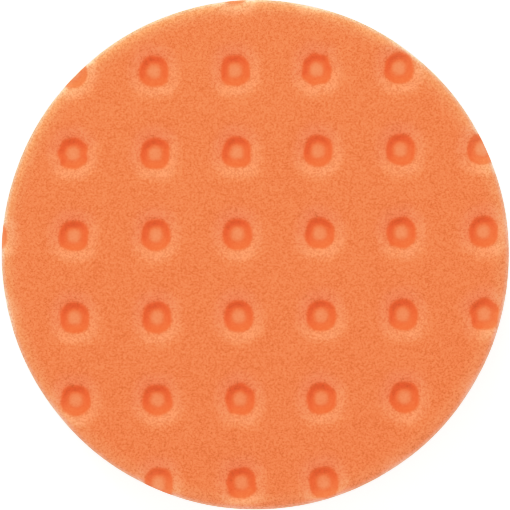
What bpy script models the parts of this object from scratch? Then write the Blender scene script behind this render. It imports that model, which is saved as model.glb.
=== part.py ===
"""Foam polishing pad: a disc of open-cell foam with pressed pockets, bonded to a loop-pile back.

Metres, +Z up. The pad lies on its loop back and its polishing face looks up. The origin is the
middle of the loop back's underside. The layers are bonded in the real pad; here each one keeps
LAYER_GAP to the next, so that they stay separate bodies.
"""

import math

import bpy

# Outline
FACE_DIAMETER = 0.165  # the foam's widest outline
LOOP_INSET = 0.0075  # the loop back's edge, in from the foam's outline
BACK_LEDGE = 0.001  # the foam's back face, out past the loop back's edge

# Layers, from the underside up
PILE_THICKNESS = 0.0014
CLOTH_THICKNESS = 0.0006
FILM_THICKNESS = 0.0004
FOAM_THICKNESS = 0.0287
LAYER_GAP = 0.0003

# The foam's cut edge
FACE_EDGE_RADIUS = 0.004  # rounding between the polishing face and the wall
WALL_WAIST = 0.0006  # how far the wall draws in at half height
BEVEL_HEIGHT = 0.009  # cone from the wall down to the back face

# Pockets, on a square grid that sits off the pad's middle and slightly turned
POCKET_PITCH = 0.0265
POCKET_GRID_TURN = math.radians(0.75)
POCKET_GRID_X = -0.0058  # the pocket nearest the pad's middle
POCKET_GRID_Y = 0.0067
POCKET_MOUTH_DIAMETER = 0.0104
POCKET_FLOOR_DIAMETER = 0.0072
POCKET_DEPTH = 0.0030
LEAST_NOTCH = 0.0011  # a mouth that the outline cuts less deeply is left out
SHOULDER_WIDTH = 0.0042  # shallow dish round each mouth
SHOULDER_DEPTH = 0.0015

# Facets
PAD_STEPS = 84
POCKET_STEPS = 14
EDGE_STEPS = 5
WALL_STEPS = 4
HARD_EDGE = math.radians(35)
MERGE_DISTANCE = 0.00001
CUTTER_RISE = 0.0005  # how far a pocket's cutter stands above the face

# Levels and radii that follow from the sizes above
CLOTH_BOTTOM = PILE_THICKNESS + LAYER_GAP
FILM_BOTTOM = CLOTH_BOTTOM + CLOTH_THICKNESS + LAYER_GAP
FOAM_BOTTOM = FILM_BOTTOM + FILM_THICKNESS + LAYER_GAP
FOAM_TOP = FOAM_BOTTOM + FOAM_THICKNESS
FACE_RADIUS = FACE_DIAMETER / 2
LOOP_RADIUS = FACE_RADIUS - LOOP_INSET
BACK_RADIUS = LOOP_RADIUS + BACK_LEDGE


def clear_scene():
    """Removes every object that the file opened with."""
    for obj in list(bpy.data.objects):
        bpy.data.objects.remove(obj)


def new_collection(name):
    """A new collection in the scene."""
    collection = bpy.data.collections.new(name)
    bpy.context.scene.collection.children.link(collection)
    return collection


def plain_material(name, colour, roughness):
    """A Principled material of one colour, none of them metal."""
    material = bpy.data.materials.new(name)
    material.use_nodes = True
    shader = material.node_tree.nodes["Principled BSDF"]
    shader.inputs["Base Color"].default_value = (*colour, 1.0)
    shader.inputs["Roughness"].default_value = roughness
    shader.inputs["Metallic"].default_value = 0.0
    return material


def foam_material():
    """Orange open-cell polyurethane foam."""
    return plain_material("orange_foam", (0.888, 0.223, 0.074), 0.95)


def film_material():
    """Clear amber hot-melt adhesive."""
    return plain_material("hot_melt_film", (0.71, 0.56, 0.34), 0.35)


def cloth_material():
    """Knitted polyamide ground cloth."""
    return plain_material("knitted_ground", (0.62, 0.62, 0.60), 0.8)


def pile_material():
    """Brushed polyamide loops."""
    return plain_material("brushed_loops", (0.74, 0.74, 0.72), 0.9)


def turned(name, profile, steps, collection):
    """An object turned about Z from (radius, height) points that run down its outer side."""
    mesh = bpy.data.meshes.new(name)
    points = [(radius, 0.0, height) for radius, height in profile]
    edges = [(i, i + 1) for i in range(len(profile) - 1)]
    mesh.from_pydata(points, edges, [])
    obj = bpy.data.objects.new(name, mesh)
    collection.objects.link(obj)
    screw = obj.modifiers.new("Turn", "SCREW")
    screw.axis = "Z"
    screw.steps = screw.render_steps = steps
    screw.use_merge_vertices = True
    screw.merge_threshold = MERGE_DISTANCE
    return obj


def settle(obj, material):
    """Puts the mesh that the modifiers make in their place, smooth but for its hard edges."""
    graph = bpy.context.evaluated_depsgraph_get()
    section, mesh = obj.data, bpy.data.meshes.new_from_object(obj.evaluated_get(graph))
    mesh.shade_smooth()
    mesh.set_sharp_from_angle(angle=HARD_EDGE)
    mesh.materials.clear()
    mesh.materials.append(material)
    obj.modifiers.clear()
    obj.data = mesh
    bpy.data.meshes.remove(section)
    mesh.name = obj.name


def foam_profile():
    """The foam's section: face, rounded edge, drawn-in wall, bevel and back face."""
    profile = [(0.0, FOAM_TOP)]
    for i in range(EDGE_STEPS + 1):
        angle = math.radians(90) * (1 - i / EDGE_STEPS)
        radius = FACE_RADIUS - FACE_EDGE_RADIUS * (1 - math.cos(angle))
        profile.append((radius, FOAM_TOP - FACE_EDGE_RADIUS * (1 - math.sin(angle))))
    wall_top = FOAM_TOP - FACE_EDGE_RADIUS
    wall_bottom = FOAM_BOTTOM + BEVEL_HEIGHT
    for i in range(1, WALL_STEPS + 1):
        part = i / WALL_STEPS
        radius = FACE_RADIUS - WALL_WAIST * math.sin(math.pi * part)
        profile.append((radius, wall_top + (wall_bottom - wall_top) * part))
    profile.append((BACK_RADIUS, FOAM_BOTTOM))
    profile.append((0.0, FOAM_BOTTOM))
    return profile


def pocket_profile():
    """A pocket cutter's section. Its shoulder slope runs on above the face, which it cuts at z = 0."""
    mouth = POCKET_MOUTH_DIAMETER / 2
    rim = mouth + SHOULDER_WIDTH * (1 + CUTTER_RISE / SHOULDER_DEPTH)
    return [
        (0.0, CUTTER_RISE),
        (rim, CUTTER_RISE),
        (mouth, -SHOULDER_DEPTH),
        (POCKET_FLOOR_DIAMETER / 2, -POCKET_DEPTH),
        (0.0, -POCKET_DEPTH),
    ]


def pocket_centres():
    """Every grid point whose pocket opens on the face, also where the pad's edge cuts it through."""
    reach = FACE_RADIUS + POCKET_MOUTH_DIAMETER / 2 - LEAST_NOTCH
    most = math.ceil((reach + math.hypot(POCKET_GRID_X, POCKET_GRID_Y)) / POCKET_PITCH)
    along = POCKET_PITCH * math.cos(POCKET_GRID_TURN)
    across = POCKET_PITCH * math.sin(POCKET_GRID_TURN)
    centres = []
    for row in range(-most, most + 1):
        for column in range(-most, most + 1):
            x = POCKET_GRID_X + column * along + row * across
            y = POCKET_GRID_Y + column * across - row * along
            if math.hypot(x, y) < reach:
                centres.append((x, y))
    return centres


def pocket_cutters(collection):
    """One hidden cutter for each pocket."""
    profile = pocket_profile()
    for number, (x, y) in enumerate(pocket_centres(), start=1):
        cutter = turned(f"pocket_cutter_{number:02d}", profile, POCKET_STEPS, collection)
        cutter.location = (x, y, FOAM_TOP)
        cutter.hide_render = True
        cutter.display_type = "WIRE"


def foam_body(parts, cutters):
    """The foam disc, with its pockets cut into the face."""
    pocket_cutters(cutters)
    body = turned("foam_body", foam_profile(), PAD_STEPS, parts)
    cut = body.modifiers.new("Pockets", "BOOLEAN")
    cut.operation = "DIFFERENCE"
    cut.operand_type = "COLLECTION"
    cut.collection = cutters
    settle(body, foam_material())


def layer(name, bottom, thickness, material, parts):
    """One flat disc of the back, as wide as the loop back."""
    top = bottom + thickness
    profile = [(0.0, top), (LOOP_RADIUS, top), (LOOP_RADIUS, bottom), (0.0, bottom)]
    settle(turned(name, profile, PAD_STEPS, parts), material)


def main():
    clear_scene()
    parts = new_collection("polishing_pad")
    cutters = new_collection("cutters")
    foam_body(parts, cutters)
    layer("bond_film", FILM_BOTTOM, FILM_THICKNESS, film_material(), parts)
    layer("loop_cloth", CLOTH_BOTTOM, CLOTH_THICKNESS, cloth_material(), parts)
    layer("loop_pile", 0.0, PILE_THICKNESS, pile_material(), parts)


if __name__ == "__main__":
    main()
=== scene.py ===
"""Looks of a foam polishing pad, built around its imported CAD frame.

The world is in metres; a mesh is laid out in millimetres and scaled when it becomes an object. The
pad lies on its loop back, its polishing face looks up, and the origin is the middle of the loop back.
"""

import logging
import math
from collections.abc import Callable, Sequence
from dataclasses import dataclass, field
from enum import Enum
from typing import ClassVar

import bpy
import numpy as np
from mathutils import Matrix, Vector
from mathutils.geometry import delaunay_2d_cdt


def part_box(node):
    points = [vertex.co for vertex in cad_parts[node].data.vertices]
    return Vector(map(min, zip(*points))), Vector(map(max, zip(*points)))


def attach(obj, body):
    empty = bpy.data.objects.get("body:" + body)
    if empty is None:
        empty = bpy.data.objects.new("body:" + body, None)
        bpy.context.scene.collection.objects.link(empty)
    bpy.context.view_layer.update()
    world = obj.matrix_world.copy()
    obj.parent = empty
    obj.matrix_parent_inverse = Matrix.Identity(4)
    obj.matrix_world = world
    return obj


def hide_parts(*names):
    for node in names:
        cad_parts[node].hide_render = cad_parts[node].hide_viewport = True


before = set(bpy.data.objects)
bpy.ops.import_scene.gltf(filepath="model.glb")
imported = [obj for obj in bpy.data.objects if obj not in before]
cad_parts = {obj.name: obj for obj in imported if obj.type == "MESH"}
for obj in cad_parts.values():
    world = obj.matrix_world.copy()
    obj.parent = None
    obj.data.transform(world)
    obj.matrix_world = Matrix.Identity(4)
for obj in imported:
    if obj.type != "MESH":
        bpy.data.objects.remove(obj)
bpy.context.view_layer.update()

log = logging.getLogger("polishing_pad")

MM = 0.001
BODY = "root"
WHITE = (1.0, 1.0, 1.0)

Array = np.ndarray
Colour = tuple[float, float, float]
Face = Sequence[int]
Section = list[tuple[float, float]]
Sockets = dict[str, object]


# Shader nodes


class Value:
    """One output socket, with arithmetic that adds Math nodes."""

    def __init__(self, graph: "Graph", socket: bpy.types.NodeSocket) -> None:
        """Wraps a socket of a graph."""
        self.graph = graph
        self.socket = socket

    def __add__(self, other: "Value | float") -> "Value":
        """Sum."""
        return self.graph.maths("ADD", self, other)

    def __sub__(self, other: "Value | float") -> "Value":
        """Difference."""
        return self.graph.maths("SUBTRACT", self, other)

    def __rsub__(self, other: float) -> "Value":
        """Difference, with the number first."""
        return self.graph.maths("SUBTRACT", other, self)

    def __mul__(self, other: "Value | float") -> "Value":
        """Product."""
        return self.graph.maths("MULTIPLY", self, other)

    __radd__ = __add__
    __rmul__ = __mul__


class Graph:
    """The nodes of one material or of the world."""

    def __init__(self, tree: bpy.types.NodeTree) -> None:
        """Starts on a node tree."""
        self.tree = tree

    def node(
        self,
        kind: str,
        settings: dict[str, object] | None = None,
        inputs: dict[str | int, object] | None = None,
        output: str | int = 0,
    ) -> Value:
        """Adds one node.

        Args:
            kind: the node's type without its "ShaderNode" prefix.
            settings: its properties; "stops" are a ramp's positions and colours, in rising order.
            inputs: a number, colour or link for each named or numbered socket.
            output: the socket to hand back.

        Returns:
            The wrapped output socket.
        """
        made = self.tree.nodes.new("ShaderNode" + kind)
        settings = dict(settings or {})
        for number, (position, colour) in enumerate(settings.pop("stops", ())):
            elements = made.color_ramp.elements
            stop = elements[number] if number < len(elements) else elements.new(position)
            stop.position, stop.color = position, (*colour, 1.0)
        for name, setting in settings.items():
            setattr(made, name, setting)
        for key, given in (inputs or {}).items():
            self.feed(made.inputs[key], given)
        return Value(self, made.outputs[output])

    def feed(self, socket: bpy.types.NodeSocket, given: object) -> None:
        """Links a value to a socket, or sets the socket's own number or colour.

        Args:
            socket: the input.
            given: a wrapped socket, a number, or a tuple of numbers.
        """
        if isinstance(given, Value):
            self.tree.links.new(given.socket, socket)
        elif socket.type == "RGBA":
            socket.default_value = (*given, 1.0)
        else:
            socket.default_value = given

    def maths(self, operation: str, first: "Value | float", second: "Value | float" = 0.0) -> Value:
        """A Math node on two values."""
        return self.node("Math", {"operation": operation}, {0: first, 1: second})

    def blend(
        self, share: Value, start: Value | Colour, end: Value | Colour, mode: str = "MIX"
    ) -> Value:
        """A colour between two, or the first one multiplied, by a share from 0 to 1."""
        settings = {"data_type": "RGBA", "blend_type": mode}
        return self.node("Mix", settings, {0: share, 6: start, 7: end}, 2)

    def ease(self, value: Value, low: float, high: float) -> Value:
        """A smooth step from 0 at one value to 1 at another, which may be the smaller."""
        settings = {"interpolation_type": "SMOOTHSTEP"}
        return self.node("MapRange", settings, {"Value": value, 1: low, 2: high, 3: 0.0, 4: 1.0})

    def place(self, stretch: tuple[float, float, float] = (1.0, 1.0, 1.0)) -> Value:
        """Where a point is on the object, in millimetres; a factor under 1 draws a pattern out."""
        scale = tuple(factor / MM for factor in stretch)
        inputs = {0: self.node("TexCoord", output="Object"), 1: scale}
        return self.node("VectorMath", {"operation": "MULTIPLY"}, inputs)

    def attribute(self, name: str) -> Value:
        """A number kept at each vertex of the mesh."""
        return self.node("Attribute", {"attribute_type": "GEOMETRY", "attribute_name": name}, output=2)

    def noise(
        self, at: Value, size: float, detail: float, roughness: float = 0.5, swirl: float = 0.0
    ) -> Value:
        """Cloudy noise around 0.5, of a cloud size in millimetres, with finer layers in it."""
        inputs = {"Vector": at, "Scale": 1.0 / size, "Detail": detail, "Roughness": roughness}
        return self.node("TexNoise", {"noise_dimensions": "3D"}, {**inputs, "Distortion": swirl})

    def cells(self, at: Value, size: float, feature: str = "F1", output: str = "Distance") -> Value:
        """Irregular cells of a size in millimetres, by one feature and output of a Voronoi node."""
        settings = {"voronoi_dimensions": "3D", "feature": feature}
        return self.node("TexVoronoi", settings, {"Vector": at, "Scale": 1.0 / size}, output)

    def bump(self, height: Value, depth: float) -> Value:
        """A normal that leans with a height, of which 1 stands for a depth in millimetres."""
        return self.node("Bump", None, {"Strength": 1.0, "Distance": depth * MM, "Height": height})


# Finishes: colours are linear and sizes are in millimetres


class Finish:
    """What all finishes share: a Principled shader with constant and varying sockets."""

    name: str
    constants: ClassVar[Sockets]

    def varying(self, graph: Graph) -> dict[str, Value]:
        """What varies over the surface, by socket."""
        raise NotImplementedError

    def material(self) -> bpy.types.Material:
        """Builds the material.

        Returns:
            The material.
        """
        material = bpy.data.materials.new(self.name)
        material.use_nodes = True
        graph = Graph(material.node_tree)
        shader = material.node_tree.nodes["Principled BSDF"]
        for socket, given in {**self.constants, **self.varying(graph)}.items():
            graph.feed(shader.inputs[socket], given)
        return material


@dataclass(frozen=True)
class FoamFinish(Finish):
    """Orange open-cell foam: cells, clumps and clouds, with tints where it is pressed or cut, partly
    painted shade in the pockets' creases and painted sheen on the shoulders and the rim.
    """

    name: str = "orange_foam"
    strut: Colour = (1.0, 0.243, 0.086)
    pore: Colour = (0.605, 0.147, 0.036)
    # pressed_tint: partly lighter pressed skin, partly a painted sheen on the shoulders round the
    # pockets.
    pressed_tint: Colour = (1.12, 1.19, 1.38)
    floor_tint: Colour = (1.10, 1.26, 1.51)
    # crease_tint: partly denser foam, partly painted shade where the pockets' creases lie in shade.
    crease_tint: Colour = (0.965, 0.73, 0.60)
    # rim_tint: painted light on the rounded edge, standing in for light from the floor and the sides;
    # partly a paler cut edge.
    rim_tint: Colour = (1.06, 1.31, 1.54)
    # edge_tint: a painted grazing sheen that pales the outermost edge, with a thin painted shadow in
    # its red; partly a paler worn edge.
    edge_tint: Colour = (0.78, 1.25, 2.05)
    cut_tint: Colour = (0.97, 0.94, 0.92)
    cell: float = 0.43
    clump: float = 0.76
    cloud: float = 6.0
    streak: float = 1.1
    streak_stretch: tuple[float, float, float] = (0.35, 0.35, 1.6)
    bump_depth: float = 0.09
    grain: float = 1.3
    pressed_calm: float = 0.1
    well_calm: float = 0.72
    skin_coat: float = 0.2
    constants: ClassVar[Sockets] = {
        "Specular IOR Level": 0.12,
        "Sheen Weight": 0.22,
        "Sheen Roughness": 0.35,
        "Sheen Tint": (1.0, 0.88, 0.76),
        "Coat Roughness": 0.5,
    }

    def varying(self, graph: Graph) -> dict[str, Value]:
        """What varies over the surface, by socket.

        Args:
            graph: the material's graph.

        Returns:
            Colour, roughness, normal, and the coat of the pressed skin.
        """
        at = graph.place()
        tinted = ("pressed", "floor", "crease", "rim", "edge", "cut")
        mask = {name: graph.attribute(name) for name in ("well", *tinted)}

        walls = graph.ease(graph.cells(at, self.cell, "DISTANCE_TO_EDGE"), 0.22, 0.02)
        tone = graph.node("SeparateColor", None, {0: graph.cells(at, self.cell, output="Color")})
        clump = graph.noise(at, self.clump, 3.0, 0.75)
        cloud = graph.noise(at, self.cloud, 3.0, 0.55)
        calm = 1.0 - mask["pressed"] * self.pressed_calm - mask["well"] * self.well_calm
        grain = (walls - 0.3) * 0.45 + (tone - 0.5) * 0.75 + (clump - 0.5) * 2.2
        share = grain * calm * self.grain + (cloud - 0.5) * 0.45 + 0.5

        colour = graph.blend(share, self.pore, self.strut)
        # Multiplies in each tint: partly the skin's and the cut's own colour, partly painted shade in
        # the creases and painted sheen on the shoulders, the rim and the edge.
        for name in tinted:
            colour = graph.blend(mask[name], colour, getattr(self, name + "_tint"), "MULTIPLY")

        streak = graph.noise(graph.place(self.streak_stretch), self.streak, 2.0)
        height = walls * 0.5 + tone * 0.35 + clump * 0.9 + streak * mask["cut"] * 0.5
        return {
            "Base Color": colour,
            "Roughness": 0.88 + clump * 0.16,
            "Normal": graph.bump(height * (0.6 + mask["cut"] * 0.6) * calm, self.bump_depth),
            "Coat Weight": (mask["pressed"] + mask["floor"]) * self.skin_coat,
        }


@dataclass(frozen=True)
class FilmFinish(Finish):
    """Amber hot-melt adhesive with swirls and small blisters."""

    name: str = "hot_melt_film"
    thin: Colour = (0.80, 0.52, 0.27)
    thick: Colour = (0.60, 0.36, 0.15)
    blister: float = 2.2
    bump_depth: float = 0.12
    constants: ClassVar[Sockets] = {
        "Specular IOR Level": 0.5, "Coat Weight": 0.25, "Coat Roughness": 0.2
    }

    def varying(self, graph: Graph) -> dict[str, Value]:
        """What varies over the surface, by socket.

        Args:
            graph: the material's graph.

        Returns:
            Colour, roughness and normal.
        """
        at = graph.place()
        swirl = graph.noise(at, self.blister * 2.0, 4.0)
        blisters = graph.ease(graph.cells(at, self.blister), 0.55, 0.15)
        thickness = graph.ease(swirl + blisters * 0.2, 0.35, 0.75)
        return {
            "Base Color": graph.blend(thickness, self.thin, self.thick),
            "Roughness": 0.28 + swirl * 0.25,
            "Normal": graph.bump(swirl + blisters * 0.3, self.bump_depth),
        }


@dataclass(frozen=True)
class KnitFinish(Finish):
    """Light grey knitted ground cloth: wales along Y, crossed by courses of bent loops."""

    name: str = "knitted_ground"
    yarn: Colour = (0.70, 0.70, 0.68)
    gap: Colour = (0.40, 0.40, 0.39)
    wale: float = 1.0
    course: float = 0.8
    fluff: float = 0.35
    bump_depth: float = 0.18
    constants: ClassVar[Sockets] = {
        "Specular IOR Level": 0.25, "Sheen Weight": 0.15, "Sheen Roughness": 0.5
    }

    def varying(self, graph: Graph) -> dict[str, Value]:
        """What varies over the surface, by socket.

        Args:
            graph: the material's graph.

        Returns:
            Colour, roughness and normal.
        """
        at = graph.place()
        x, y = (graph.node("SeparateXYZ", None, {0: at}, axis) for axis in range(2))
        turn = math.tau / self.wale
        lean = graph.maths("ABSOLUTE", graph.maths("SINE", x * (turn / 2)))
        loops = graph.maths("SINE", (y + lean * (self.course * 0.7)) * (math.tau / self.course))
        ridge = graph.maths("COSINE", x * turn) * -0.25 + loops * 0.35 + 0.5
        fluff = graph.noise(at, self.fluff, 3.0)
        stitch = ridge + (fluff - 0.5) * 0.8
        return {
            "Base Color": graph.blend(graph.ease(stitch, 0.1, 0.75), self.gap, self.yarn),
            "Roughness": 0.75 + fluff * 0.2,
            "Normal": graph.bump(stitch, self.bump_depth),
        }


@dataclass(frozen=True)
class LoopFinish(Finish):
    """Light grey polyamide yarn, tangled fibres in slightly darker and lighter patches."""

    name: str = "brushed_loops"
    light: Colour = (0.82, 0.82, 0.80)
    dark: Colour = (0.50, 0.50, 0.49)
    fibre: float = 0.3
    patch: float = 5.0
    bump_depth: float = 0.12
    constants: ClassVar[Sockets] = {
        "Specular IOR Level": 0.3, "Sheen Weight": 0.25, "Sheen Roughness": 0.45
    }

    def varying(self, graph: Graph) -> dict[str, Value]:
        """What varies over the surface, by socket.

        Args:
            graph: the material's graph.

        Returns:
            Colour, roughness and normal.
        """
        at = graph.place()
        tangle = graph.noise(at, self.fibre, 3.0, swirl=2.5)
        patch = graph.noise(at, self.patch, 2.0)
        share = (tangle - 0.5) * 1.5 + (patch - 0.5) * 0.5 + 0.62
        return {
            "Base Color": graph.blend(share, self.dark, self.light),
            "Roughness": 0.7 + tangle * 0.25,
            "Normal": graph.bump(tangle, self.bump_depth),
        }


@dataclass(frozen=True)
class FloorFinish(Finish):
    """Plain white studio floor, lit a little from within."""

    name: str = "studio_floor"
    white: Colour = (0.86, 0.86, 0.86)
    shade: float = 0.99
    speck: float = 60.0
    bump_depth: float = 0.01
    constants: ClassVar[Sockets] = {
        "Specular IOR Level": 0.0, "Emission Color": WHITE, "Emission Strength": 0.8
    }

    def varying(self, graph: Graph) -> dict[str, Value]:
        """What varies over the surface, by socket.

        Args:
            graph: the material's graph.

        Returns:
            Colour, roughness and normal.
        """
        speck = graph.noise(graph.place(), self.speck, 2.0)
        shaded = tuple(self.shade * part for part in self.white)
        return {
            "Base Color": graph.blend(speck, self.white, shaded),
            "Roughness": 0.9 + speck * 0.05,
            "Normal": graph.bump(speck, self.bump_depth),
        }


# Mesh helpers


@dataclass
class Shape:
    """Points in millimetres, faces, and the values kept at the points of one piece."""

    points: Array
    faces: list[Face]
    values: dict[str, Array] = field(default_factory=dict)
    corners: Array | None = None

    def to_object(self, name: str, finish: Finish) -> bpy.types.Object:
        """Makes a smooth object that rides on the pad's body.

        Args:
            name: its name.
            finish: its only finish.

        Returns:
            The object, in place.
        """
        mesh = bpy.data.meshes.new(name)
        mesh.from_pydata((self.points * MM).tolist(), [], [list(face) for face in self.faces])
        for key, numbers in self.values.items():
            layer = mesh.attributes.new(key, "FLOAT", "POINT")
            layer.data.foreach_set("value", numbers.astype(np.float32))
        if self.corners is not None:
            uv = mesh.uv_layers.new(name="OFBake")
            uv.data.foreach_set("uv", self.corners.astype(np.float32).ravel())
        mesh.materials.append(finish.material())
        mesh.shade_smooth()
        mesh.update()
        made = bpy.data.objects.new(name, mesh)
        bpy.context.scene.collection.objects.link(made)
        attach(made, BODY)
        log.info("%s: %d faces, %s mm", name, len(self.faces), np.ptp(self.points, 0).round(1))
        return made


class Wobble:
    """A smooth random line round a circle, the same on every run."""

    def __init__(self, seed: int, size: float, orders: Sequence[int]) -> None:
        """Draws the waves.

        Args:
            seed: picks the line.
            size: its usual height.
            orders: how many times each wave goes round.
        """
        rng = np.random.default_rng(seed)
        self.orders = np.array(orders)
        self.heights = rng.normal(0.0, size / math.sqrt(len(orders) / 2), len(orders))
        self.starts = rng.uniform(0.0, math.tau, len(orders))

    def at(self, angle: Array) -> Array:
        """Its height at some angles."""
        return np.cos(np.multiply.outer(angle, self.orders) + self.starts) @ self.heights


def step(value: Array, low: float, high: float) -> Array:
    """A smooth step from 0 at one value to 1 at another, which may be the smaller."""
    part = np.clip((value - low) / (high - low), 0.0, 1.0)
    return part * part * (3.0 - 2.0 * part)


def polar(points: Array) -> tuple[Array, Array]:
    """Distance and angle of each point about Z."""
    return np.hypot(points[:, 0], points[:, 1]), np.arctan2(points[:, 1], points[:, 0])


def pushed(points: Array, shift: Array) -> Array:
    """Moves each point away from Z by its own shift."""
    share = 1.0 + shift / np.maximum(polar(points)[0], 1.0)
    return points * np.stack([share, share, np.ones(len(share))], 1)


def ring(radius: float, height: float, steps: int) -> Array:
    """Points evenly round a circle about Z, as rows of x, y, z."""
    angle = np.arange(steps) * (math.tau / steps)
    return np.stack([radius * np.cos(angle), radius * np.sin(angle), np.full(steps, height)], 1)


def staggered(reach: float, pitch: float, row_pitch: float) -> Array:
    """Points of a square field, every other row moved on by half a pitch, as rows of x, y."""
    across, rows = np.arange(-reach, reach, pitch), np.arange(-reach, reach, row_pitch)
    return np.array([(x + pitch / 2 * (i % 2), y) for i, y in enumerate(rows) for x in across])


def mirrored(upper: Section, edge: float, low: float, high: float) -> Section:
    """A section from its upper half's radii and depths under the top, and the radius halfway."""
    under = [(radius, low + depth) for radius, depth in reversed(upper)]
    return [*((radius, high - depth) for radius, depth in upper), (edge, (low + high) / 2), *under]


def bend(start: Array, corner: Array, end: Array, count: int) -> Array:
    """A rounded corner, as rows of radius and height that come after its start."""
    part = np.linspace(0.0, 1.0, count + 1)[1:, None]
    return (1 - part) ** 2 * start + 2 * part * (1 - part) * corner + part**2 * end


def turned_shape(section: Section, steps: int, shift: Callable[[Array], Array]) -> Shape:
    """A closed body turned about Z.

    Args:
        section: radius and height of each ring, from the top's middle to the underside's.
        steps: how many points each ring has.
        shift: moves the points of the rings, given and giving rows of x, y, z.

    Returns:
        The body.
    """
    rings = shift(np.concatenate([ring(radius, height, steps) for radius, height in section]))
    top, under = len(rings), len(rings) + 1
    middles = [[0.0, 0.0, part[:, 2].mean()] for part in (rings[:steps], rings[-steps:])]
    turned = [(i, (i + 1) % steps) for i in range(steps)]
    last = (len(section) - 1) * steps
    faces: list[Face] = []
    for above in range(0, last, steps):
        below = above + steps
        faces += [(above + i, below + i, below + j, above + j) for i, j in turned]
    for i, j in turned:
        faces += [(top, i, j), (under, last + j, last + i)]
    return Shape(np.concatenate([rings, middles]), faces)


# Foam


@dataclass(frozen=True)
class PocketForm:
    """A pocket's section, by its radius in millimetres where its outline is a true circle."""

    mouth: float = 5.2
    mouth_lip: float = 0.15
    crease: float = 2.7
    shoulder_reach: float = 11.0
    shoulder_depth: float = 1.6
    well_depth: float = 1.38
    floor_rise: float = 0.06
    rings: tuple[float, ...] = (
        0.45, 0.9, 1.35, 1.8, 2.2, 2.55, 2.85, 3.15, 3.45, 3.75, 4.05, 4.35,
        4.65, 4.95, 5.25, 5.6, 6.1, 6.7, 7.4, 8.3, 9.4, 10.6, 12.0,
    )

    def depth(self, radius: Array, open_well: bool) -> Array:
        """How far the face is pressed in.

        Args:
            radius: distances from the pocket's middle.
            open_well: whether the well shows, and not only the shoulder.

        Returns:
            Depths, never negative.
        """
        reach = self.shoulder_reach - self.mouth
        depth = self.shoulder_depth * np.clip((self.shoulder_reach - radius) / reach, 0.0, 1.0) ** 2
        if open_well:
            depth = depth + self.well_depth * step(radius, self.mouth + self.mouth_lip, self.crease)
            rise = np.clip(1.0 - (radius / self.crease) ** 2, 0.0, 1.0) ** 1.5
            depth = depth - self.floor_rise * rise
        return depth

    def skins_and_painted_light(self, radius: Array, open_well: bool) -> dict[str, Array]:
        """How much shows of each kind of pressed skin, 0 to 1; the crease also carries painted shade
        and the shoulder a painted sheen.

        Args:
            radius: distances from the pocket's middle.
            open_well: whether the well shows, and not only the shoulder.

        Returns:
            The lighter skin of the shoulder, partly a painted sheen, all of the well, the lighter skin
            of its floor, and the crease round that, partly denser foam and partly painted shade,
            strongest under the mouth.
        """
        # Weight of the crease tint, partly denser foam and partly painted shade, strongest on the
        # steep wall under the mouth.
        density_and_shade = 0.82 + 0.18 * step(radius, 3.3, 4.2)
        return {
            "pressed": step(radius, 10.2, 6.9) * step(radius, 4.7, 5.9),
            "well": step(radius, 5.4, 4.6) * open_well,
            "floor": step(radius, 2.9, 0.9) * open_well,
            "crease": step(radius, 1.6, 3.2) * step(radius, 5.6, 4.5) * density_and_shade * open_well,
        }


@dataclass(frozen=True)
class DieOutline:
    """The outline of the die that pressed the pockets: a rounded square, taller than wide.

    Each number is a share of the radius.
    """

    taller: float = 0.033
    squarer: float = 0.022
    flatter_foot: float = 0.010
    smaller: float = 0.012

    def at(self, angle: Array) -> Array:
        """How far it stands out of a true circle at some angles."""
        upright = -self.taller * np.cos(2 * angle) - self.squarer * np.cos(4 * angle)
        return upright + self.flatter_foot * np.cos(3 * (angle - math.pi / 2)) - self.smaller


@dataclass
class Pocket:
    """One pocket: its middle, its outline, and whether its well opens on the face."""

    middle: Array
    turn: float
    die: DieOutline
    outline: Wobble
    open_well: bool

    def stretch(self, angle: Array) -> Array:
        """The outline's radius at some angles, as a share of a true circle's."""
        return 1.0 + self.outline.at(angle) + self.die.at(angle - self.turn)

    def radius(self, points: Array) -> Array:
        """Distances from the middle, evened out so that the outline is a true circle."""
        away, angle = polar(points[:, :2] - self.middle)
        return away / self.stretch(angle)

    def ring(self, radius: float, phase: float, spacing: float = 0.5) -> Array:
        """Points that follow the outline.

        Args:
            radius: the evened-out distance from the middle.
            phase: where on the ring the first point is, in steps.
            spacing: about how far apart the points are, in millimetres.

        Returns:
            One row of x, y for each point.
        """
        count = int(np.clip(round(math.tau * radius / spacing), 6, 64))
        angle = (np.arange(count) + phase) * (math.tau / count)
        reach = radius * self.stretch(angle)
        return self.middle + np.stack([reach * np.cos(angle), reach * np.sin(angle)], 1)

    def points(self, radii: Sequence[float]) -> Array:
        """The middle and rings of points round it, every other one turned by half a step."""
        rings = [self.ring(radius, 0.5 * (i % 2)) for i, radius in enumerate(radii)]
        return np.concatenate([self.middle[None, :], *rings])


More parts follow.
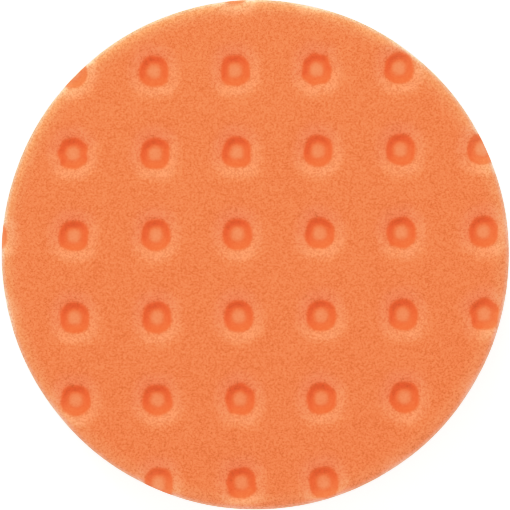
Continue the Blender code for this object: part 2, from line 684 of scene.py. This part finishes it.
@dataclass(frozen=True)
class PocketGrid:
    """A square grid of pockets, a little off the pad's middle and a little turned.

    The foam, as it was pressed and let go, drew the pockets from their places. The shift is a
    constant, then shares of x, y, x * x, x * y and y * y at draw_reach.
    """

    pitch: float = 26.5
    turn: float = math.radians(0.75)
    start: tuple[float, float] = (-5.8, 6.7)
    least_notch: float = 1.1
    die: DieOutline = DieOutline()
    draw_reach: float = 80.0
    drawn_x: tuple[float, ...] = (0.10, 0.17, -0.06, 0.08, -0.27, -0.02)
    drawn_y: tuple[float, ...] = (-0.12, -0.24, 0.35, 0.14, 0.28, -0.62)
    wander: float = 0.10
    most_wander: float = 0.35
    unevenness: float = 0.022
    seed: int = 11

    def drawn(self, middle: Array) -> Array:
        """How far a pocket was drawn from its place on the even grid, in x and y."""
        x, y = middle / self.draw_reach
        return np.array([self.drawn_x, self.drawn_y]) @ [1.0, x, y, x * x, x * y, y * y]

    def pockets(self, face_radius: float, form: PocketForm) -> list[Pocket]:
        """Every pocket that marks the face.

        Args:
            face_radius: the pad's outline.
            form: the pockets' section.

        Returns:
            The pockets, also those of which the outline leaves only a part.
        """
        rng = np.random.default_rng(self.seed)
        along = np.array([math.cos(self.turn), math.sin(self.turn)]) * self.pitch
        down = np.array([math.sin(self.turn), -math.cos(self.turn)]) * self.pitch
        most = math.ceil(face_radius / self.pitch)
        pockets = []
        for row in range(-most, most + 1):
            for column in range(-most, most + 1):
                middle = np.array(self.start) + column * along + row * down
                away = float(np.hypot(*middle))
                drift = rng.normal(0.0, self.wander, 2).clip(-self.most_wander, self.most_wander)
                outline = Wobble(int(rng.integers(1 << 30)), self.unevenness, (1, 2, 3, 4, 5, 7))
                if away > face_radius + form.shoulder_reach:
                    continue
                opens = away < face_radius + form.mouth - self.least_notch
                place = middle + drift + self.drawn(middle)
                pockets.append(Pocket(place, self.turn, self.die, outline, opens))
        return pockets


@dataclass
class FoamBody:
    """The foam disc: pressed face, rounded edge, drawn-in wall, bevel and back. Millimetres.

    The face and the upper part of its edge, down to even_from degrees round the edge, are one net
    of triangles. Below that come even rows of quads.
    """

    finish: FoamFinish = FoamFinish()
    form: PocketForm = PocketForm()
    grid: PocketGrid = PocketGrid()
    edge_radius: float = 4.0
    wall_waist: float = 0.6
    bevel_height: float = 9.0
    back_ledge: float = 1.0
    ovalness: float = 0.2
    steps: int = 1260
    fill_pitch: float = 1.45
    even_from: float = 60.0
    even_rows: tuple[float, ...] = (66.0, 72.0, 78.0, 84.0, 90.0)
    coarse_rows: tuple[float, ...] = (0.0, 10.0, 20.0)
    fine_rows: tuple[float, ...] = (30.0, 40.0, 50.0)
    least_gap: float = 0.24
    sheet: float = 226.0
    sheet_gap: float = 0.8
    sheet_inset: float = 1.0

    def __post_init__(self) -> None:
        """Takes the outline from the frame."""
        low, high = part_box("foam_body")
        self.radius = (high.x - low.x) / 2 / MM
        self.top = high.z / MM
        self.bottom = low.z / MM
        self.back_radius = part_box("loop_pile")[1].x / MM + self.back_ledge
        self.flat_radius = self.radius - self.edge_radius
        self.pockets = self.grid.pockets(self.radius, self.form)
        self.outline = Wobble(5, 0.05, (2, 3, 5, 8, 13, 21))
        self.lean = Wobble(8, 0.07, (3, 4, 7, 11))
        self.swell = [Wobble(60 + i, 0.035, (2, 3, 5, 7)) for i in range(4)]

    def edge_reach(self, angle: float) -> float:
        """The radius at some degrees round the rounded edge, 0 at the face and 90 at the wall."""
        return self.radius - self.edge_radius * (1 - math.sin(math.radians(angle)))

    def face_drop(self, points: Array) -> Array:
        """How far the face and its rounded edge lie below the highest level at some points.

        Args:
            points: rows of x, y.

        Returns:
            Depths, in millimetres.
        """
        over = np.clip(polar(points)[0] - self.flat_radius, 0.0, self.edge_radius)
        edge = self.edge_radius - np.sqrt(self.edge_radius**2 - over**2)
        press = np.zeros(len(points))
        for pocket in self.pockets:
            press = np.maximum(press, self.form.depth(pocket.radius(points), pocket.open_well))
        soft = np.clip(np.minimum(edge, press), 0.01, 0.7)
        meet = np.clip(0.5 + (edge - press) / (2 * soft), 0.0, 1.0)
        return press + (edge - press) * meet + soft * meet * (1.0 - meet)

    def swollen(self, points: Array) -> Array:
        """Slight unevenness of the face, always downward, at some points.

        Args:
            points: rows of x, y.

        Returns:
            Depths, in millimetres.
        """
        x, y = points[:, 0] / self.radius, points[:, 1] / self.radius
        waves = self.swell[0].at(x * 2.4) * self.swell[1].at(y * 2.1)
        waves = waves + self.swell[2].at((x + y) * 1.7) * self.swell[3].at((x - y) * 2.6)
        return 0.03 + np.clip(waves * 12.0, -0.03, 0.03)

    def face_points(self) -> Array:
        """Scatters the points of the pressed face.

        Returns:
            Rows of x, y. The first ones are the ring where the even rows of the edge begin.
        """
        limit = self.edge_reach(self.even_from)
        border = ring(limit, 0.0, self.steps)[:, :2]
        pressed = np.concatenate([pocket.points(self.form.rings) for pocket in self.pockets])
        pressed = pressed[polar(pressed)[0] < limit - 0.22]

        edge = [ring(self.edge_reach(angle), 0.0, self.steps // 2) for angle in self.coarse_rows]
        edge += [ring(self.edge_reach(angle), 0.0, self.steps) for angle in self.fine_rows]
        edge = self.clear_of(np.concatenate(edge)[:, :2], pressed)

        fill = staggered(self.radius, self.fill_pitch, self.fill_pitch * math.sqrt(0.75))
        fill = fill + np.random.default_rng(3).uniform(-0.2, 0.2, fill.shape) * self.fill_pitch
        fill = fill[polar(fill)[0] < self.flat_radius - 0.9]
        for pocket in self.pockets:
            fill = fill[pocket.radius(fill) > self.form.rings[-1] + 0.8]
        return np.concatenate([border, edge, pressed, fill])

    def clear_of(self, points: Array, others: Array) -> Array:
        """Leaves out points that are too near to others.

        Args:
            points: rows of x, y.
            others: rows of x, y.

        Returns:
            The points that are left.
        """
        others = others[polar(others)[0] > polar(points)[0].min() - self.least_gap]
        kept = []
        for part in np.array_split(points, math.ceil(len(points) / 500)):
            offset = part[:, None] - others[None]
            kept.append(part[np.hypot(offset[..., 0], offset[..., 1]).min(1) > self.least_gap])
        return np.concatenate(kept)

    def face_mesh(self) -> tuple[Array, list[Face]]:
        """Joins the face's points into triangles.

        Returns:
            Rows of x, y, and the triangles, which look up.
        """
        given = self.face_points()
        found = delaunay_2d_cdt([Vector(point) for point in given], [], [], 0, 1e-6)
        points = np.array([tuple(point) for point in found[0]])
        if len(points) != len(given):
            raise ValueError("some points of the face coincide")
        triangles = np.array(found[2])
        a, b, c = (points[triangles[:, i]] for i in range(3))
        area = (b[:, 0] - a[:, 0]) * (c[:, 1] - a[:, 1]) - (b[:, 1] - a[:, 1]) * (c[:, 0] - a[:, 0])
        triangles[area < 0] = triangles[area < 0][:, ::-1]
        return points, triangles[np.abs(area) > 1e-9].tolist()

    def wall_section(self) -> Array:
        """Lays out the rings from the rounded edge's lowest point to the back.

        Returns:
            Rows of radius and height.
        """
        wall_top = self.top - self.edge_radius
        corner = np.array([self.radius, self.bottom + self.bevel_height])
        back = np.array([self.back_radius, self.bottom])
        part = np.linspace(0.0, 1.0, 12)[:-1]
        waist = self.wall_waist * np.sin(math.pi * part)
        wall = np.stack([self.radius - waist, wall_top + (corner[1] - wall_top) * part], 1)
        bevel = corner + np.outer((0.14, 0.3, 0.46, 0.62, 0.78, 0.93), back - corner)
        upper = bend(wall[-1], corner, bevel[0], 5)
        lower = bend(bevel[-1], back, back - [0.7, 0.0], 4)
        return np.concatenate([wall, upper, bevel[1:-1], lower, [back - [3.0, 0.0]]])

    def build(self) -> None:
        """Builds the foam."""
        flat, faces = self.face_mesh()
        rows = [np.arange(self.steps)]
        points = [np.column_stack([flat, self.top - self.face_drop(flat) - self.swollen(flat)])]
        for angle in self.even_rows:
            row = ring(self.edge_reach(angle), 0.0, self.steps)
            fade = 1.0 - math.sin(math.radians(angle))
            row[:, 2] = self.top - self.face_drop(row) - self.swollen(row) * fade
            points.append(row)
        section = self.wall_section()
        points += [ring(radius, level, self.steps) for radius, level in section[1:]]
        total = len(points) - 1
        rows += [rows[0] + len(flat) + self.steps * i for i in range(total)]
        points = np.concatenate([*points, [[0.0, 0.0, self.bottom]]])

        for upper, lower in zip(rows[:-1], rows[1:]):
            quads = np.stack([upper, lower, np.roll(lower, -1), np.roll(upper, -1)], 1)
            faces += quads.tolist()
        hub = np.full(self.steps, len(points) - 1)
        faces += np.stack([hub, np.roll(rows[-1], -1), rows[-1]], 1).tolist()

        values = self.marks(points, len(flat) + self.steps * len(self.even_rows))
        corners = self.unwrap(points, faces, len(flat), len(section))
        made = Shape(self.bowed(points), faces, values, corners).to_object("pressed_foam", self.finish)
        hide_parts("foam_body")

    def bowed(self, points: Array) -> Array:
        """Gives the outline and the wall the slight waviness of a die-cut edge.

        Args:
            points: all the foam's points.

        Returns:
            The moved points.
        """
        away, angle = polar(points)
        deep = np.clip((self.top - self.edge_radius - points[:, 2]) / 20.0, 0.0, 1.0)
        shift = self.outline.at(angle) + deep * self.lean.at(angle) - self.ovalness * np.cos(2 * angle)
        fade = step(away, 60.0, 80.0) * step(points[:, 2], self.bottom + 0.2, self.bottom + 3.0)
        return pushed(points, shift * fade)

    def marks(self, points: Array, face_count: int) -> dict[str, Array]:
        """The numbers that the finish reads at each point.

        Args:
            points: all the foam's points.
            face_count: how many of them belong to the face and its rounded edge.

        Returns:
            One array for each name.
        """
        marks: dict[str, Array] = {}
        for pocket in self.pockets:
            for name, shown in self.form.skins_and_painted_light(pocket.radius(points), pocket.open_well).items():
                shown[face_count:] = 0.0
                marks[name] = np.maximum(marks.get(name, 0.0), shown)
        inward, down = self.radius - polar(points)[0], self.top - points[:, 2]
        # Where the rim's painted light falls, partly a paler cut edge.
        rim = step(inward, 7.0, 0.6) * step(down, 10.0, 3.0)
        # Where the edge's painted sheen and thin painted shadow fall, partly a worn edge.
        edge = step(inward, 1.8, 0.1) * step(down, 5.5, 3.8)
        cut = step(down, 2.5, 5.0) * step(inward, self.radius - 60.0, self.radius - 70.0)
        outside = 1.0 - marks["well"] * 0.6
        return {
            **marks,
            # The painted crease shade is weakened near the rim.
            "crease": marks["crease"] * (1.0 - rim * 0.35),
            "rim": rim * outside,
            "edge": edge * outside,
            "cut": cut,
        }

    def unwrap(self, points: Array, faces: list[Face], face_count: int, section: int) -> Array:
        """Lays the foam's skin out flat: the face, three strips of wall, and the back.

        Two of the strips stand beside the face's disc and one lies under it.

        Args:
            points: all the foam's points.
            faces: the pressed face's triangles, the even rows' quads from the top down, and the
                triangles round the back's middle.
            face_count: how many points the pressed face has.
            section: how many rings the wall has, the lowest one of the edge among them.

        Returns:
            A row of u, v for each corner of each face.
        """
        steps, arc = self.steps, len(self.even_rows)
        away = polar(points)[0]
        over = np.clip((away - self.flat_radius) / self.edge_radius, 0.0, 1.0)
        unrolled = np.where(over > 0, self.flat_radius + self.edge_radius * np.arcsin(over), away)
        half = self.flat_radius + self.edge_radius * math.pi / 2 + 0.6
        flat = points[:, :2] * (unrolled / np.maximum(away, 1e-9))[:, None] + [half, self.sheet - half]
        back = points[:, :2] * [22.0, -22.0] / self.back_radius + [self.sheet - 24.0, 27.0]

        rings = points[face_count + steps * (arc - 1) : -1].reshape(section, steps, 3)
        run = np.hypot(*np.diff(rings[:, 0, ::2], axis=0).T)
        down = np.concatenate([[0.0], np.cumsum(run)])
        last = int(np.nonzero(rings[:, 0, 2] < self.bottom + 0.01)[0][0])
        wall = len(faces) - steps * section
        strip, column = np.divmod(np.arange(steps)[:, None], steps // 3)
        along = (column + [0, 0, 1, 1]) * (math.tau * self.radius / steps) + self.sheet_inset
        depth = down[np.arange(last)[:, None, None] + [0, 1, 1, 0]]
        along, depth = np.broadcast_arrays(along, depth)
        beside = 2 * half + self.sheet_gap + strip * (down[last] + self.sheet_gap) + depth
        standing = np.stack([beside, self.sheet - along], 3)
        lying = np.stack([along, self.sheet_gap + depth], 3)
        strips = np.where((strip < 2)[..., None], standing, lying).reshape(-1, 2)

        over, under = (
            place[[corner for face in part for corner in face]]
            for place, part in ((flat, faces[:wall]), (back, faces[wall + steps * last :]))
        )
        return np.concatenate([over, strips, under]) / self.sheet


# Back of the pad


@dataclass
class BondFilm:
    """The film of hot-melt adhesive, with the bead that squeezes out round it. Millimetres."""

    finish: FilmFinish = FilmFinish()
    spread: float = 0.14
    bead: float = 0.28
    steps: int = 360

    def __post_init__(self) -> None:
        """Takes the disc from the frame."""
        low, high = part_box("bond_film")
        self.radius = high.x / MM
        self.low, self.high = low.z / MM, high.z / MM
        self.creep = Wobble(21, 0.14, (3, 5, 9, 14, 22, 37, 55))

    def build(self) -> None:
        """Builds the film."""
        low, high, radius = self.low - self.spread, self.high + self.spread, self.radius
        upper = [(r, 0.1) for r in (18.0, 40.0, 60.0, radius - 1.6)]
        upper += [(radius - 0.7, 0.06), (radius - 0.25, 0.01), (radius, 0.04)]
        upper += [(radius + self.bead * 0.8, (high - low) / 2 - 0.16)]
        section = mirrored(upper, radius + self.bead, low, high)
        made = turned_shape(section, self.steps, self.squeezed).to_object("glue_film", self.finish)
        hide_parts("bond_film")

    def squeezed(self, points: Array) -> Array:
        """Moves the rim in and out, as the adhesive crept when it was hot.

        Args:
            points: the rings' points.

        Returns:
            The moved points.
        """
        away, angle = polar(points)
        creep = np.clip(self.creep.at(angle), -0.3, 0.25)
        return pushed(points, creep * step(away, self.radius - 2.0, self.radius))


@dataclass
class LoopBack:
    """The loop fabric: knitted ground cloth, brushed nap and standing loops. Millimetres."""

    knit: KnitFinish = KnitFinish()
    nap: LoopFinish = LoopFinish("brushed_nap", (0.70, 0.70, 0.68), (0.40, 0.40, 0.39))
    yarn: LoopFinish = LoopFinish()
    cloth_reach: float = 0.12
    nap_rise: float = 0.12
    nap_drop: float = 0.42
    steps: int = 360
    row_pitch: float = 1.5
    loop_pitch: float = 1.75
    loop_points: int = 6
    yarn_radius: float = 0.075
    yarn_sides: int = 3
    seed: int = 42

    def __post_init__(self) -> None:
        """Takes the discs from the frame."""
        cloth_low, cloth_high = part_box("loop_cloth")
        pile_low, pile_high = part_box("loop_pile")
        self.radius = cloth_high.x / MM
        self.cloth_low, self.cloth_high = cloth_low.z / MM, cloth_high.z / MM
        self.pile_low, self.pile_high = pile_low.z / MM, pile_high.z / MM
        self.edge = Wobble(31, 0.09, (4, 7, 12, 19, 33, 61, 90))

    def trimmed(self, points: Array) -> Array:
        """Gives a disc the uneven edge that the hot knife leaves.

        Args:
            points: the rings' points.

        Returns:
            The moved points.
        """
        away, angle = polar(points)
        shift = np.clip(self.edge.at(angle), -0.25, 0.2)
        return pushed(points, shift * step(away, self.radius - 3.0, self.radius - 0.5))

    def build_cloth(self) -> bpy.types.Object:
        """Builds the ground cloth.

        Returns:
            The object.
        """
        low, high = self.cloth_low - self.cloth_reach, self.cloth_high + self.cloth_reach
        radius = self.radius
        upper = [(r, 0.02) for r in (15.0, 30.0, 45.0, 60.0, 70.0, radius - 1.0)]
        upper += [(radius - 0.35, 0.03), (radius - 0.08, 0.16)]
        shape = turned_shape(mirrored(upper, radius, low, high), self.steps, self.trimmed)
        made = shape.to_object("ground_cloth", self.knit)
        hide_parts("loop_cloth")
        return made

    def build_nap(self) -> bpy.types.Object:
        """Builds the brushed fibres that the loops stand in.

        Returns:
            The object.
        """
        low, high = self.pile_high - self.nap_drop, self.pile_high + self.nap_rise
        radius = self.radius - 0.15
        section = [(r, high) for r in (20.0, 45.0, 65.0, radius - 0.6)]
        section += [(radius - 0.1, high - 0.08), (radius, high - 0.28), (radius - 0.15, low + 0.04)]
        section += [(float(r), low) for r in np.arange(radius - 0.8, 1.0, -1.3)]
        rng = np.random.default_rng(self.seed + 1)

        def tousled(points: Array) -> Array:
            """Trims the edge and roughens the underside."""
            moved = self.trimmed(points)
            under = moved[:, 2] < low + 0.1
            moved[under, 2] += rng.uniform(-0.09, 0.09, int(under.sum()))
            return moved

        made = turned_shape(section, self.steps, tousled).to_object("brushed_nap", self.nap)
        return made

    def loop_spines(self, rng: np.random.Generator) -> Array:
        """Scatters the loops and bends each into an arch that hangs from the nap.

        Args:
            rng: the source of their unevenness.

        Returns:
            The points along each loop: loops, points, and x, y, z.
        """
        feet = staggered(self.radius, self.loop_pitch, self.row_pitch)
        feet = feet + rng.normal(0.0, 0.22, feet.shape)
        feet = feet[polar(feet)[0] < self.radius - 0.75]
        count = len(feet)
        heading = rng.normal(0.0, 0.7, (count, 1))
        width = rng.uniform(1.0, 1.9, (count, 1))
        drop = rng.uniform(0.8, 1.0, (count, 1)) * (self.pile_high - self.pile_low - 0.12)
        lean = rng.normal(0.0, 0.35, (count, 1))

        part = np.linspace(0.0, 1.0, self.loop_points)
        bulge = np.sin(math.pi * part) ** 0.75
        along = (part - 0.5) * width * (1.0 + 0.35 * bulge)
        aside = lean * bulge
        x = feet[:, :1] + along * np.cos(heading) - aside * np.sin(heading)
        y = feet[:, 1:] + along * np.sin(heading) + aside * np.cos(heading)
        return np.stack([x, y, self.pile_high - 0.02 - drop * bulge], 2)

    def build_loops(self) -> bpy.types.Object:
        """Builds the standing loops, one arch of yarn each.

        Returns:
            The object.
        """
        rng = np.random.default_rng(self.seed)
        spine = self.loop_spines(rng)
        count, sides = len(spine), self.yarn_sides
        thick = rng.uniform(0.8, 1.2, count) * self.yarn_radius
        tangent = np.gradient(spine, axis=1)
        tangent /= np.linalg.norm(tangent, axis=2, keepdims=True)
        span = spine[:, -1] - spine[:, 0]
        span /= np.linalg.norm(span, axis=1, keepdims=True)
        aside = np.cross([0.0, 0.0, 1.0], span)[:, None, :]
        aside = aside - tangent * (aside * tangent).sum(2, keepdims=True)
        aside /= np.linalg.norm(aside, axis=2, keepdims=True)
        outward = np.cross(tangent, aside)
        turns = [i * math.tau / sides for i in range(sides)]
        offsets = [math.cos(turn) * aside + math.sin(turn) * outward for turn in turns]
        points = [spine + offset * thick[:, None, None] for offset in offsets]
        points = np.stack(points, 2).reshape(-1, 3)
        points[:, 2] = np.maximum(points[:, 2], self.pile_low + 0.015)

        side = np.arange(sides)
        after = (side + 1) % sides
        quads = np.stack([side, after, after + sides, side + sides], 1)
        rows = np.arange(self.loop_points - 1)[:, None, None] * sides
        ends = np.stack([side[::-1], side + sides * (self.loop_points - 1)])
        starts = np.arange(count)[:, None, None] * sides * self.loop_points
        faces = (starts[:, None] + rows + quads).reshape(-1, 4).tolist()
        faces += (starts + ends).reshape(-1, sides).tolist()
        made = Shape(points, faces).to_object("standing_loops", self.yarn)
        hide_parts("loop_pile")
        return made

    def build(self) -> None:
        cloth, nap, loops = self.build_cloth(), self.build_nap(), self.build_loops()
        width = 2 * self.radius * MM
        area = math.pi * width**2 / 4


# Studio


class Side(Enum):
    """The lamps of the studio."""

    KEY = "key_softbox"
    TOP = "top_softbox"


@dataclass(frozen=True)
class Softbox:
    """A square lamp that looks at the pad. Metres, degrees and watts."""

    side: Side
    azimuth: float
    tilt: float
    distance: float
    width: float
    power: float

    def build(self) -> None:
        """Hangs the lamp."""
        lamp = bpy.data.lights.new(self.side.value, "AREA")
        lamp.shape, lamp.size, lamp.energy = "SQUARE", self.width, self.power
        made = bpy.data.objects.new(self.side.value, lamp)
        azimuth, tilt = math.radians(self.azimuth), math.radians(self.tilt)
        level = math.sin(tilt)
        out = Vector((math.cos(azimuth) * level, math.sin(azimuth) * level, math.cos(tilt)))
        made.location = out * self.distance
        made.rotation_euler = out.to_track_quat("Z", "Y").to_euler()
        made.visible_camera = False
        bpy.context.scene.collection.objects.link(made)


@dataclass
class Studio:
    """A white floor, soft light from above, and a camera straight over the pad. Metres."""

    floor: FloorFinish = FloorFinish()
    floor_reach: float = 3.0
    lamps: tuple[Softbox, ...] = (
        Softbox(Side.KEY, 109.0, 48.0, 1.5, 0.8, 14.4),
        Softbox(Side.TOP, 0.0, 0.0, 1.8, 0.9, 4.2),
    )
    zenith: float = 0.35
    dome: float = 0.95
    horizon: float = 1.4
    lens: float = 200.0
    sensor: float = 36.0
    half_view: float = 0.0827
    outline_level: float = 0.028
    centre: tuple[float, float] = (-0.00012, -0.00011)
    tone: tuple[tuple[float, float], ...] = (
        (0.0, 0.0), (0.2, 0.2), (0.45, 0.468), (0.71, 0.798), (0.92, 0.888), (1.13, 0.923), (1.3, 1.0)
    )

    def build_floor(self) -> None:
        """Lays the floor."""
        reach = self.floor_reach
        mesh = bpy.data.meshes.new("studio_floor")
        corners = [(x * reach, y * reach, 0.0) for x, y in ((-1, -1), (1, -1), (1, 1), (-1, 1))]
        mesh.from_pydata(corners, [], [(0, 1, 2, 3)])
        mesh.materials.append(self.floor.material())
        made = bpy.data.objects.new("studio_floor", mesh)
        bpy.context.scene.collection.objects.link(made)

    def build_sky(self) -> None:
        """Sets the world: a pale dome, brighter low down and white behind the floor's far edge."""
        world = bpy.data.worlds.new("studio_dome")
        world.use_nodes = True
        bpy.context.scene.world = world
        graph = Graph(world.node_tree)
        up = graph.node("SeparateXYZ", None, {0: graph.node("TexCoord", output="Generated")}, 2)
        levels = ((0.0, self.horizon), (0.16, self.horizon), (0.3, self.dome), (0.9, self.zenith))
        stops = [(height, (level / self.horizon,) * 3) for height, level in levels]
        sky = world.node_tree.nodes["Background"]
        graph.feed(sky.inputs["Color"], graph.node("ValToRGB", {"stops": stops}, {0: up}))
        graph.feed(sky.inputs["Strength"], self.horizon)

    def build_camera(self) -> None:
        """Hangs the camera."""
        lens = bpy.data.cameras.new("camera")
        lens.lens, lens.sensor_width = self.lens, self.sensor
        lens.clip_start, lens.clip_end = 0.01, 20.0
        made = bpy.data.objects.new("camera", lens)
        height = self.outline_level + self.half_view * self.lens / (self.sensor / 2)
        made.location = (*self.centre, height)
        bpy.context.scene.collection.objects.link(made)
        bpy.context.scene.camera = made

    def set_tone(self) -> None:
        """Gives the picture soft highlights, as film does."""
        view = bpy.context.scene.view_settings
        view.view_transform = "Standard"
        view.look = "None"
        view.use_curve_mapping = True
        brightest = self.tone[-1][0]
        view.curve_mapping.white_level = (brightest,) * 3
        for light, shown in self.tone[1:-1]:
            view.curve_mapping.curves[3].points.new(light / brightest, shown)
        view.curve_mapping.update()

    def build(self) -> None:
        """Builds the floor, the light and the camera."""
        self.build_floor()
        self.build_sky()
        for lamp in self.lamps:
            lamp.build()
        self.build_camera()
        self.set_tone()


def main() -> None:
    """Builds the pad and its studio."""
    logging.basicConfig(level=logging.INFO, format="%(name)s: %(message)s")
    Studio().build()
    FoamBody().build()
    BondFilm().build()
    LoopBack().build()


if __name__ == "__main__":
    main()
